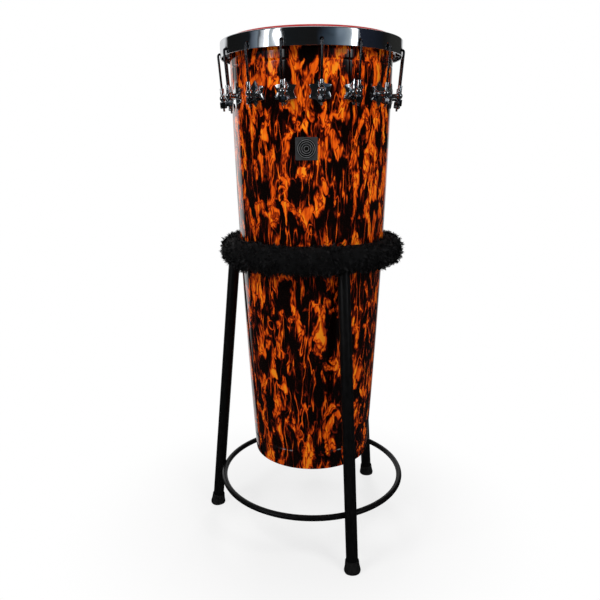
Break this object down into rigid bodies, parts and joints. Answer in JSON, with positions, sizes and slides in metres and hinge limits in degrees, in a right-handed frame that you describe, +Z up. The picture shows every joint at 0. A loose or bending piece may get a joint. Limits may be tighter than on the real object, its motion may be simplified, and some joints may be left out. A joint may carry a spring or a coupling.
{
  "type": "timbal drum with stand",
  "caption": "Tall conical timbal drum with tension hoop, hook tuners on star lugs and a plain head, held by its taper in a fur-covered ring on a three-legged stand with a brace ring.",
  "frame": {"origin": "on the floor, under the middle of the footprint of the whole object; the drum axis is at x 0.0194, y 0.0130", "axes": "+Z up along the drum, -Y towards the side that the picture shows, +X to the right in the picture"},
  "size_m": [0.471, 0.4582, 1.0896],
  "materials": {
    "painted_tube": "satin black paint on steel",
    "black_rubber": "moulded, matt",
    "black_fur": "short shaggy fake fur",
    "flame_lacquer": "ply shell under gloss black lacquer with orange and yellow flames",
    "red_film": "stretched drum film",
    "bright_chrome": "polished",
    "dark_chrome": "polished, seen dark"
  },
  "bodies": {
    "stand": {"support_ring": "painted_tube", "fur_sleeve": "black_fur", "leg_1": "painted_tube", "leg_2": "painted_tube", "leg_3": "painted_tube", "brace_ring": "painted_tube", "foot_1": "black_rubber", "foot_2": "black_rubber", "foot_3": "black_rubber"},
    "drum": {"shell": "flame_lacquer", "drum_head": "red_film", "lug_01": "bright_chrome", "lug_02": "bright_chrome", "lug_03": "bright_chrome", "lug_04": "bright_chrome", "lug_05": "bright_chrome", "lug_06": "bright_chrome", "lug_07": "bright_chrome", "lug_08": "bright_chrome", "lug_09": "bright_chrome", "lug_10": "bright_chrome", "lug_11": "bright_chrome", "lug_12": "bright_chrome", "lug_13": "bright_chrome", "lug_14": "bright_chrome", "lug_15": "bright_chrome", "lug_16": "bright_chrome"},
    "hoop": {"tension_hoop": "bright_chrome", "hook_01": "dark_chrome", "hook_02": "dark_chrome", "hook_03": "dark_chrome", "hook_04": "dark_chrome", "hook_05": "dark_chrome", "hook_06": "dark_chrome", "hook_07": "dark_chrome", "hook_08": "dark_chrome", "hook_09": "dark_chrome", "hook_10": "dark_chrome", "hook_11": "dark_chrome", "hook_12": "dark_chrome", "hook_13": "dark_chrome", "hook_14": "dark_chrome", "hook_15": "dark_chrome", "hook_16": "dark_chrome"},
    "nut_01": {"nut_01": "bright_chrome"},
    "nut_02": {"nut_02": "bright_chrome"},
    "nut_03": {"nut_03": "bright_chrome"},
    "nut_04": {"nut_04": "bright_chrome"},
    "nut_05": {"nut_05": "bright_chrome"},
    "nut_06": {"nut_06": "bright_chrome"},
    "nut_07": {"nut_07": "bright_chrome"},
    "nut_08": {"nut_08": "bright_chrome"},
    "nut_09": {"nut_09": "bright_chrome"},
    "nut_10": {"nut_10": "bright_chrome"},
    "nut_11": {"nut_11": "bright_chrome"},
    "nut_12": {"nut_12": "bright_chrome"},
    "nut_13": {"nut_13": "bright_chrome"},
    "nut_14": {"nut_14": "bright_chrome"},
    "nut_15": {"nut_15": "bright_chrome"},
    "nut_16": {"nut_16": "bright_chrome"}
  },
  "joints": [
    {"name": "drum_lift", "type": "slide", "parent": "stand", "child": "drum", "axis": [0, 0, 1], "range_m": [0, 0.5]},
    {"name": "hoop_slide", "type": "slide", "parent": "drum", "child": "hoop", "axis": [0, 0, 1], "range_m": [0, 0.004]},
    {"name": "nut_01_turn", "type": "hinge", "parent": "drum", "child": "nut_01", "pos_m": [0.03805, -0.17113, 0.9741], "axis": [0.0082, -0.0807, 0.9967], "range_deg": [-1440, 0]},
    {"name": "nut_02_turn", "type": "hinge", "parent": "drum", "child": "nut_02", "pos_m": [0.10708, -0.14996, 0.9741], "axis": [0.0385, -0.0714, 0.9967], "range_deg": [-1440, 0]},
    {"name": "nut_03_turn", "type": "hinge", "parent": "drum", "child": "nut_03", "pos_m": [0.16275, -0.10399, 0.9741], "axis": [0.0629, -0.0513, 0.9967], "range_deg": [-1440, 0]},
    {"name": "nut_04_turn", "type": "hinge", "parent": "drum", "child": "nut_04", "pos_m": [0.19659, -0.04021, 0.9741], "axis": [0.0777, -0.0233, 0.9967], "range_deg": [-1440, 0]},
    {"name": "nut_05_turn", "type": "hinge", "parent": "drum", "child": "nut_05", "pos_m": [0.20344, 0.03166, 0.9741], "axis": [0.0807, 0.0082, 0.9967], "range_deg": [-1440, 0]},
    {"name": "nut_06_turn", "type": "hinge", "parent": "drum", "child": "nut_06", "pos_m": [0.18227, 0.10069, 0.9741], "axis": [0.0714, 0.0385, 0.9967], "range_deg": [-1440, 0]},
    {"name": "nut_07_turn", "type": "hinge", "parent": "drum", "child": "nut_07", "pos_m": [0.1363, 0.15636, 0.9741], "axis": [0.0513, 0.0629, 0.9967], "range_deg": [-1440, 0]},
    {"name": "nut_08_turn", "type": "hinge", "parent": "drum", "child": "nut_08", "pos_m": [0.07253, 0.1902, 0.9741], "axis": [0.0233, 0.0777, 0.9967], "range_deg": [-1440, 0]},
    {"name": "nut_09_turn", "type": "hinge", "parent": "drum", "child": "nut_09", "pos_m": [0.00065, 0.19705, 0.9741], "axis": [-0.0082, 0.0807, 0.9967], "range_deg": [-1440, 0]},
    {"name": "nut_10_turn", "type": "hinge", "parent": "drum", "child": "nut_10", "pos_m": [-0.06837, 0.17588, 0.9741], "axis": [-0.0385, 0.0714, 0.9967], "range_deg": [-1440, 0]},
    {"name": "nut_11_turn", "type": "hinge", "parent": "drum", "child": "nut_11", "pos_m": [-0.12404, 0.12991, 0.9741], "axis": [-0.0629, 0.0513, 0.9967], "range_deg": [-1440, 0]},
    {"name": "nut_12_turn", "type": "hinge", "parent": "drum", "child": "nut_12", "pos_m": [-0.15788, 0.06613, 0.9741], "axis": [-0.0777, 0.0233, 0.9967], "range_deg": [-1440, 0]},
    {"name": "nut_13_turn", "type": "hinge", "parent": "drum", "child": "nut_13", "pos_m": [-0.16474, -0.00574, 0.9741], "axis": [-0.0807, -0.0082, 0.9967], "range_deg": [-1440, 0]},
    {"name": "nut_14_turn", "type": "hinge", "parent": "drum", "child": "nut_14", "pos_m": [-0.14357, -0.07476, 0.9741], "axis": [-0.0714, -0.0385, 0.9967], "range_deg": [-1440, 0]},
    {"name": "nut_15_turn", "type": "hinge", "parent": "drum", "child": "nut_15", "pos_m": [-0.0976, -0.13043, 0.9741], "axis": [-0.0513, -0.0629, 0.9967], "range_deg": [-1440, 0]},
    {"name": "nut_16_turn", "type": "hinge", "parent": "drum", "child": "nut_16", "pos_m": [-0.03382, -0.16427, 0.9741], "axis": [-0.0233, -0.0777, 0.9967], "range_deg": [-1440, 0]}
  ],
  "couplings": [
    {"joint": "nut_01_turn", "follows": "hoop_slide", "rad_per_m": -6283.2},
    {"joint": "nut_02_turn", "follows": "hoop_slide", "rad_per_m": -6283.2},
    {"joint": "nut_03_turn", "follows": "hoop_slide", "rad_per_m": -6283.2},
    {"joint": "nut_04_turn", "follows": "hoop_slide", "rad_per_m": -6283.2},
    {"joint": "nut_05_turn", "follows": "hoop_slide", "rad_per_m": -6283.2},
    {"joint": "nut_06_turn", "follows": "hoop_slide", "rad_per_m": -6283.2},
    {"joint": "nut_07_turn", "follows": "hoop_slide", "rad_per_m": -6283.2},
    {"joint": "nut_08_turn", "follows": "hoop_slide", "rad_per_m": -6283.2},
    {"joint": "nut_09_turn", "follows": "hoop_slide", "rad_per_m": -6283.2},
    {"joint": "nut_10_turn", "follows": "hoop_slide", "rad_per_m": -6283.2},
    {"joint": "nut_11_turn", "follows": "hoop_slide", "rad_per_m": -6283.2},
    {"joint": "nut_12_turn", "follows": "hoop_slide", "rad_per_m": -6283.2},
    {"joint": "nut_13_turn", "follows": "hoop_slide", "rad_per_m": -6283.2},
    {"joint": "nut_14_turn", "follows": "hoop_slide", "rad_per_m": -6283.2},
    {"joint": "nut_15_turn", "follows": "hoop_slide", "rad_per_m": -6283.2},
    {"joint": "nut_16_turn", "follows": "hoop_slide", "rad_per_m": -6283.2}
  ]
}
